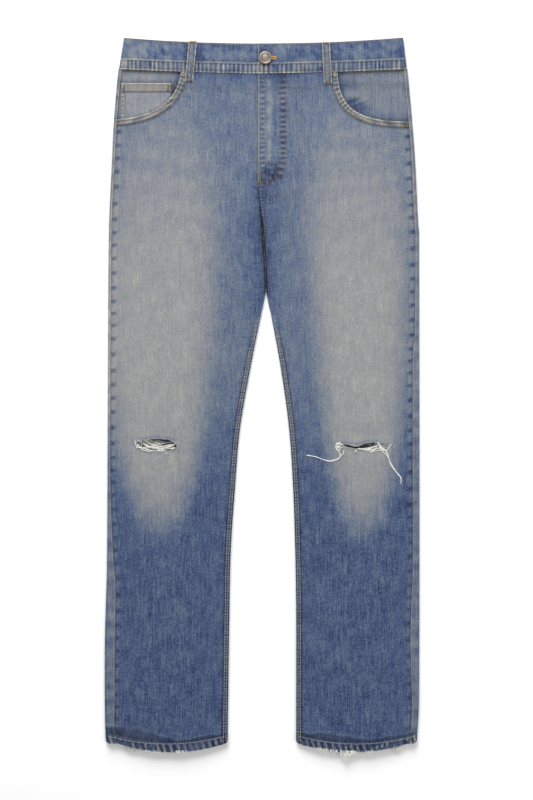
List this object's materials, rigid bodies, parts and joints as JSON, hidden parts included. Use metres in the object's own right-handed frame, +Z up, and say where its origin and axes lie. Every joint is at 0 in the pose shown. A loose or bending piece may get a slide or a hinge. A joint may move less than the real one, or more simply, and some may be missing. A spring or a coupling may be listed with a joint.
{
  "type": "pair of ripped jeans",
  "caption": "Straight-leg five-pocket jeans in faded blue denim, ripped across both knees, lying flat on their back with the front up.",
  "frame": {"origin": "on the surface the jeans lie on, at the middle of their box", "axes": "+Y from the hems to the waist, +Z up from the surface towards the front, +X to the wearer's left"},
  "size_m": [0.4718, 1.071, 0.014],
  "materials": {
    "denim": "faded indigo cotton twill, matte",
    "old_brass": "dulled grey-brass",
    "zip_tape": "plain woven tape"
  },
  "bodies": {
    "root": {"front_panel_right": "denim", "back_panel_right": "denim", "yoke_right": "denim", "back_pocket_right": "denim", "pocket_facing_right": "denim", "belt_loop_front_right": "denim", "belt_loop_back_right": "denim", "rivet_right": "old_brass", "front_panel_left": "denim", "back_panel_left": "denim", "yoke_left": "denim", "back_pocket_left": "denim", "pocket_facing_left": "denim", "belt_loop_front_left": "denim", "belt_loop_back_left": "denim", "rivet_left": "old_brass", "belt_loop_back_centre": "denim", "coin_pocket": "denim", "fly_zip": "zip_tape", "waistband": "denim", "button": "old_brass"}
  },
  "joints": []
}
